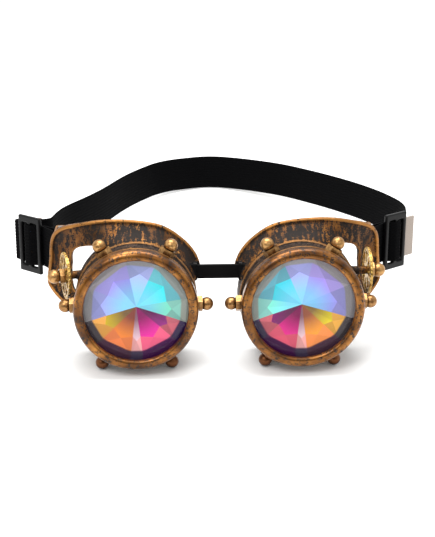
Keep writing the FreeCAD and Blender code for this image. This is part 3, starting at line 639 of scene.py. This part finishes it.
while any(too_long(edge) for edge in outline.edges):
    select_in_edit(band, "EDGE", too_long)
    bpy.ops.mesh.subdivide(number_cuts=1)
    bpy.ops.object.mode_set(mode="OBJECT")
foot = min(v.co.dot(up) for v in outline.vertices)
bpy.ops.object.mode_set(mode="EDIT")
bpy.ops.mesh.select_all(action="SELECT")
for _ in range(STRAP_ROWS):
    bpy.ops.mesh.extrude_edges_move(
        TRANSFORM_OT_translate={"value": up * (strap_width / STRAP_ROWS)}
    )
bpy.ops.mesh.select_all(action="SELECT")
bpy.ops.mesh.fill_holes(sides=0)
bpy.ops.mesh.select_all(action="SELECT")
bpy.ops.mesh.normals_make_consistent(inside=False)
bpy.ops.object.mode_set(mode="OBJECT")


def row(vertex):
    """The row a vertex is in, counted from the strap's lower edge."""
    return round((vertex.co.dot(up) - foot) / strap_width * STRAP_ROWS)


for part_row, move in ((RIB_VALLEY, -rib_depth), (RIB_CREST, rib_depth)):
    select_in_edit(
        band, "VERT", lambda v: row(v) % RIB_ROWS == part_row and 0 < row(v) < STRAP_ROWS
    )
    bpy.ops.transform.shrink_fatten(value=move)
select_in_edit(band, "VERT", lambda v: row(v) in (0, STRAP_ROWS))
bpy.ops.transform.shrink_fatten(value=-edge_round)
bpy.ops.object.mode_set(mode="OBJECT")
bpy.ops.object.shade_smooth_by_angle(angle=crease_angle)
# Woven elastic: dull black, with fine threads that catch a little light along the ribs.
elastic, shader = speckled(
    "black_ribbed_elastic", "#020203", "#080809", grain_mm=0.35, roughness=0.8, depth_mm=0.05
)
shader.inputs["Specular IOR Level"].default_value = 0.04
band.data.materials.append(elastic)
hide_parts("strap")
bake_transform(band)


# Slides: three-bar slides, each moulded in one piece of black plastic with rounded edges.
# The strap's end is threaded through and held by friction alone.
# The plastic has a soft gloss and a slight unevenness that bends its highlights.
slide_black, shader = speckled(
    "moulded_black_plastic", "#050506", "#0B0B0C", grain_mm=2.5, roughness=0.34, depth_mm=0.01
)
shader.inputs["Specular IOR Level"].default_value = 0.18
for side in SIDES:
    dress(f"{side}_buckle", slide_black)


# End tapes: short lengths of pale woven tape on the strap's free ends, cut with heat so that
# their edges are soft. The threads are drawn 0.8 mm apart, coarser than real ones, so that they show.
thread_pitch = 0.8 * MM
thread_height = 0.08 * MM
tape_voxel = 0.2 * MM
tape_passes = 3


def woven(name, run):
    """Plain weave in taupe: threads along and across the tape, a shade apart."""
    material, tree, shader = new_material(name)
    place = add(tree, "ShaderNodeTexCoord").outputs["Object"]
    waves = []
    for way in (run, up):
        along = add(
            tree, "ShaderNodeVectorMath", {"operation": "DOT_PRODUCT"}, i0=place, i1=way
        ).outputs["Value"]
        phase = add(
            tree, "ShaderNodeMath", {"operation": "MULTIPLY"}, i0=along, i1=math.tau / thread_pitch
        ).outputs[0]
        waves.append(add(tree, "ShaderNodeMath", {"operation": "SINE"}, i0=phase).outputs[0])
    weave = add(
        tree, "ShaderNodeMath", {"operation": "MULTIPLY"}, i0=waves[0], i1=waves[1]
    ).outputs[0]
    level = add(
        tree, "ShaderNodeMapRange", Value=weave, From_Min=-1, From_Max=1
    ).outputs["Result"]
    taupes = [(0.1, "#94877D"), (0.9, "#B9ADA3")]
    colour = add(tree, "ShaderNodeValToRGB", {"stops": taupes}, Fac=level).outputs["Color"]
    tree.links.new(colour, shader.inputs["Base Color"])
    shader.inputs["Roughness"].default_value = 0.85
    bump = add(tree, "ShaderNodeBump", Height=level, Strength=0.5, Distance=thread_height)
    tree.links.new(bump.outputs["Normal"], shader.inputs["Normal"])
    return material


for side in SIDES:
    tape = copy_of(f"{side}_strap_end_tab", f"{side}_end_tape")
    corners = sorted((v.co for v in tape.data.vertices), key=lambda co: co.x)
    run = corners[-1] - corners[0]
    run = (run - up * run.dot(up)).normalized()
    soften(tape, tape_voxel, tape_passes)
    tape.data.materials.append(woven(f"taupe_woven_tape_{side}", run))
    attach(tape, f"{side}_cup")
    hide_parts(f"{side}_strap_end_tab")


# Stage: a wide pale floor in a white room, under a key light from the left and a soft light above.
# The floor is matt and near white, so it shows the shadow and little else.
floor_size = 6
room_light, white = 0.86, 1.0
bpy.ops.object.select_all(action="DESELECT")
bpy.ops.mesh.primitive_plane_add(size=floor_size)
floor = bpy.context.object
floor.name = "studio_floor"
pale, tree, shader = new_material("pale_studio_floor")
shader.inputs["Base Color"].default_value = linear("#FCFCFB")
shader.inputs["Roughness"].default_value = 0.9
floor.data.materials.append(pale)

world = bpy.data.worlds.new("studio")
bpy.context.scene.world = world
world.use_nodes = True
tree = world.node_tree
path = add(tree, "ShaderNodeLightPath").outputs
seen = path["Is Camera Ray"]
for ray in ("Is Glossy Ray", "Is Transmission Ray"):
    seen = add(tree, "ShaderNodeMath", {"operation": "ADD"}, i0=seen, i1=path[ray]).outputs[0]
strength = add(
    tree, "ShaderNodeMapRange", Value=seen, To_Min=room_light, To_Max=white
).outputs["Result"]
background = tree.nodes["Background"]
background.inputs["Color"].default_value = linear("#FFFFFF")
tree.links.new(strength, background.inputs["Strength"])


def soft_box(name, place, aim, size, power):
    """An oblong lamp at a place, turned to its aim."""
    lamp = bpy.data.lights.new(name, "AREA")
    lamp.shape = "RECTANGLE"
    lamp.size, lamp.size_y = size
    lamp.energy = power
    box = bpy.data.objects.new(name, lamp)
    box.location = place
    box.rotation_euler = (Vector(aim) - Vector(place)).to_track_quat("-Z", "Y").to_euler()
    bpy.context.scene.collection.objects.link(box)


soft_box("key", place=(-0.25, -0.35, 0.6), aim=(0, 0, 0.03), size=(0.3, 0.3), power=2)
soft_box("top", place=(0, 0.12, 0.6), aim=(0, 0, 0.04), size=(0.5, 0.36), power=4)

# Black card: it stands behind the camera, shows only in reflections and keeps the copper's front
# dark. It is dull black and gives no shine of its own.
card_place = (0, -0.8, 0.12)
card_width, card_height = 2.4, 0.5
bpy.ops.object.select_all(action="DESELECT")
bpy.ops.mesh.primitive_plane_add(size=1, location=card_place, rotation=(math.radians(90), 0, 0))
card = bpy.context.object
card.name = "black_card"
bpy.ops.transform.resize(value=(card_width, 1, card_height))
black, tree, shader = new_material("black_card")
shader.inputs["Base Color"].default_value = linear("#050505")
shader.inputs["Specular IOR Level"].default_value = 0
card.data.materials.append(black)
card.visible_camera = card.visible_diffuse = False
card.visible_shadow = card.visible_transmission = False

# Camera: it looks down on the front of the goggles from almost straight ahead, turned a little.
azimuth, elevation, roll = (math.radians(angle) for angle in (-3.65, 25.72, 0.82))
camera_distance = 483 * MM
camera_aim = Vector((-1.4 * MM, -20 * MM, 51.2 * MM))
view_angle = math.radians(22.08)
lens = bpy.data.cameras.new("photo_camera")
lens.sensor_fit = "HORIZONTAL"
lens.angle = view_angle
camera = bpy.data.objects.new("photo_camera", lens)
level = math.cos(elevation)
towards = Vector((math.sin(azimuth) * level, -math.cos(azimuth) * level, math.sin(elevation)))
camera.location = camera_aim + towards * camera_distance
aimed = (-towards).to_track_quat("-Z", "Y").to_matrix() @ Matrix.Rotation(roll, 3, "Z")
camera.rotation_euler = aimed.to_euler()
bpy.context.scene.collection.objects.link(camera)
bpy.context.scene.camera = camera
bpy.context.scene.view_settings.view_transform = "Standard"
